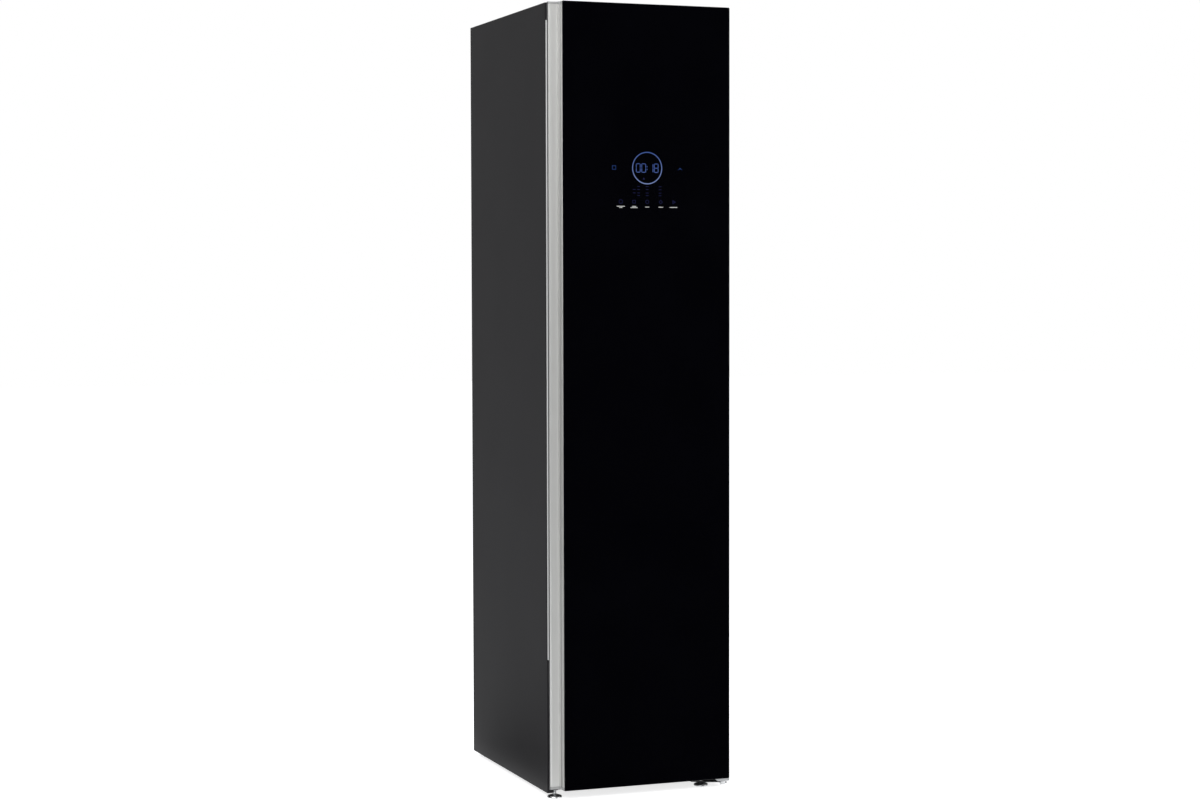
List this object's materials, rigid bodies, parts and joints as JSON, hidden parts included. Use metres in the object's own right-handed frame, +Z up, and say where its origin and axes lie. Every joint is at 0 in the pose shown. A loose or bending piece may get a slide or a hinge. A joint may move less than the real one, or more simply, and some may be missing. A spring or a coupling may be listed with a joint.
{
  "type": "clothes care steam cabinet",
  "caption": "Tall narrow steam cabinet for airing and pressing clothes, with a hinged glass front, a moving hanger rail, a heat pump and lift-out water tanks.",
  "frame": {"origin": "on the floor under the middle of the cabinet's outside box", "axes": "+X to the door's hinge side, the right seen from the front; +Y to the back; +Z up"},
  "size_m": [0.445, 0.61, 1.85],
  "materials": {
    "side_steel": "satin",
    "plated_steel": "satin",
    "black_moulding": "matte",
    "grey_moulding": "satin",
    "front_glass": "gloss",
    "brushed_strip": "satin",
    "strip_cap": "satin",
    "gasket": "matte",
    "chromed_steel": "polished",
    "black_steel": "matte",
    "silver_moulding": "satin",
    "foam": "matte",
    "fin_aluminium": "satin",
    "copper_tube": "satin",
    "compressor_can": "satin",
    "grommet": "matte",
    "motor_can": "satin",
    "boiler_casting": "matte",
    "silicone_hose": "matte",
    "circuit_board": "satin",
    "tank_moulding": "gloss",
    "lamp_lens": "satin",
    "filter_gauze": "matte"
  },
  "bodies": {
    "cabinet": {"left_side_panel": "side_steel", "right_side_panel": "side_steel", "top_panel": "side_steel", "rear_panel": "plated_steel", "base_pan": "black_moulding", "front_frame": "grey_moulding", "chamber_side_liners": "grey_moulding", "chamber_rear_liner": "grey_moulding", "chamber_ceiling": "grey_moulding", "chamber_floor": "grey_moulding", "rear_duct_cover": "grey_moulding", "foam_insulation": "foam", "garment_shelf": "grey_moulding", "ceiling_lamp": "lamp_lens", "tank_bay": "black_moulding", "air_duct": "black_moulding", "evaporator": "fin_aluminium", "condenser": "fin_aluminium", "refrigerant_lines": "copper_tube", "compressor": "compressor_can", "compressor_grommets": "grommet", "fan_housing": "black_moulding", "fan_motor": "motor_can", "steam_generator": "boiler_casting", "steam_hose": "silicone_hose", "steam_nozzle": "black_moulding", "water_pumps": "motor_can", "control_board": "circuit_board", "power_inlet": "black_moulding", "upper_hinge_bracket": "black_steel", "lower_hinge_bracket": "black_steel", "hinge_pins": "chromed_steel", "hinge_cover": "side_steel", "rail_drive_frame": "plated_steel", "rail_motor": "motor_can"},
    "door": {"door_frame": "black_moulding", "door_glass": "front_glass", "handle_strip": "brushed_strip", "handle_end_caps": "strip_cap", "door_inner_liner": "grey_moulding", "door_foam": "foam", "door_gasket": "gasket", "display_board": "circuit_board", "hinge_shoe": "silver_moulding"},
    "trouser_press": {"trouser_press_plate": "grey_moulding"},
    "door_switch": {"door_switch_plunger": "black_moulding"},
    "rail": {"hanger_rail": "brushed_strip", "rail_carriage": "plated_steel"},
    "rail_crank": {"drive_crank": "motor_can"},
    "blower_wheel": {"fan_wheel": "black_moulding"},
    "lint_filter": {"lint_filter_frame": "black_moulding", "lint_filter_mesh": "filter_gauze"},
    "supply_tank": {"supply_tank": "tank_moulding", "supply_tank_lid": "grey_moulding"},
    "drain_tank": {"drain_tank": "tank_moulding", "drain_tank_lid": "grey_moulding"},
    "front_left_leveller": {"front_left_foot": "chromed_steel"},
    "front_right_leveller": {"front_right_foot": "chromed_steel"},
    "rear_left_leveller": {"rear_left_foot": "chromed_steel"},
    "rear_right_leveller": {"rear_right_foot": "chromed_steel"}
  },
  "joints": [
    {"name": "door_hinge", "type": "hinge", "parent": "cabinet", "child": "door", "pos_m": [0.214, -0.285, 0.9], "axis": [0, 0, 1], "range_deg": [0, 110]},
    {"name": "trouser_press_hinge", "type": "hinge", "parent": "door", "child": "trouser_press", "pos_m": [-0.153, -0.236, 1.16], "axis": [0, 0, 1], "range_deg": [0, 75]},
    {"name": "door_switch_travel", "type": "slide", "parent": "cabinet", "child": "door_switch", "axis": [0, -1, 0], "range_m": [0, 0.003]},
    {"name": "rail_slide", "type": "slide", "parent": "cabinet", "child": "rail", "axis": [1, 0, 0], "range_m": [-0.0155, 0.0155]},
    {"name": "rail_crank_turn", "type": "hinge", "parent": "cabinet", "child": "rail_crank", "pos_m": [0, 0, 1.81], "axis": [0, 0, 1], "range_deg": [-60, 60]},
    {"name": "blower_spin", "type": "hinge", "parent": "cabinet", "child": "blower_wheel", "pos_m": [-0.101, 0.188, 0.152], "axis": [0, 1, 0], "continuous": true},
    {"name": "lint_filter_lift", "type": "slide", "parent": "cabinet", "child": "lint_filter", "axis": [0, 0, 1], "range_m": [0, 0.085]},
    {"name": "supply_tank_slide", "type": "slide", "parent": "cabinet", "child": "supply_tank", "axis": [0, -1, 0], "range_m": [0, 0.125]},
    {"name": "drain_tank_slide", "type": "slide", "parent": "cabinet", "child": "drain_tank", "axis": [0, -1, 0], "range_m": [0, 0.125]},
    {"name": "front_left_foot_turn", "type": "hinge", "parent": "cabinet", "child": "front_left_leveller", "pos_m": [-0.2034, -0.256, 0.02], "axis": [0, 0, 1], "continuous": true},
    {"name": "front_right_foot_turn", "type": "hinge", "parent": "cabinet", "child": "front_right_leveller", "pos_m": [0.1693, -0.256, 0.02], "axis": [0, 0, 1], "continuous": true},
    {"name": "rear_left_foot_turn", "type": "hinge", "parent": "cabinet", "child": "rear_left_leveller", "pos_m": [-0.19, 0.265, 0.02], "axis": [0, 0, 1], "continuous": true},
    {"name": "rear_right_foot_turn", "type": "hinge", "parent": "cabinet", "child": "rear_right_leveller", "pos_m": [0.19, 0.265, 0.02], "axis": [0, 0, 1], "continuous": true}
  ],
  "couplings": [
    {"joint": "supply_tank_slide", "follows": "door_hinge", "m_per_rad": 0.065},
    {"joint": "drain_tank_slide", "follows": "door_hinge", "m_per_rad": 0.065},
    {"joint": "door_switch_travel", "follows": "door_hinge", "m_per_rad": 0.00156},
    {"joint": "rail_crank_turn", "follows": "rail_slide", "rad_per_m": 67.1}
  ]
}
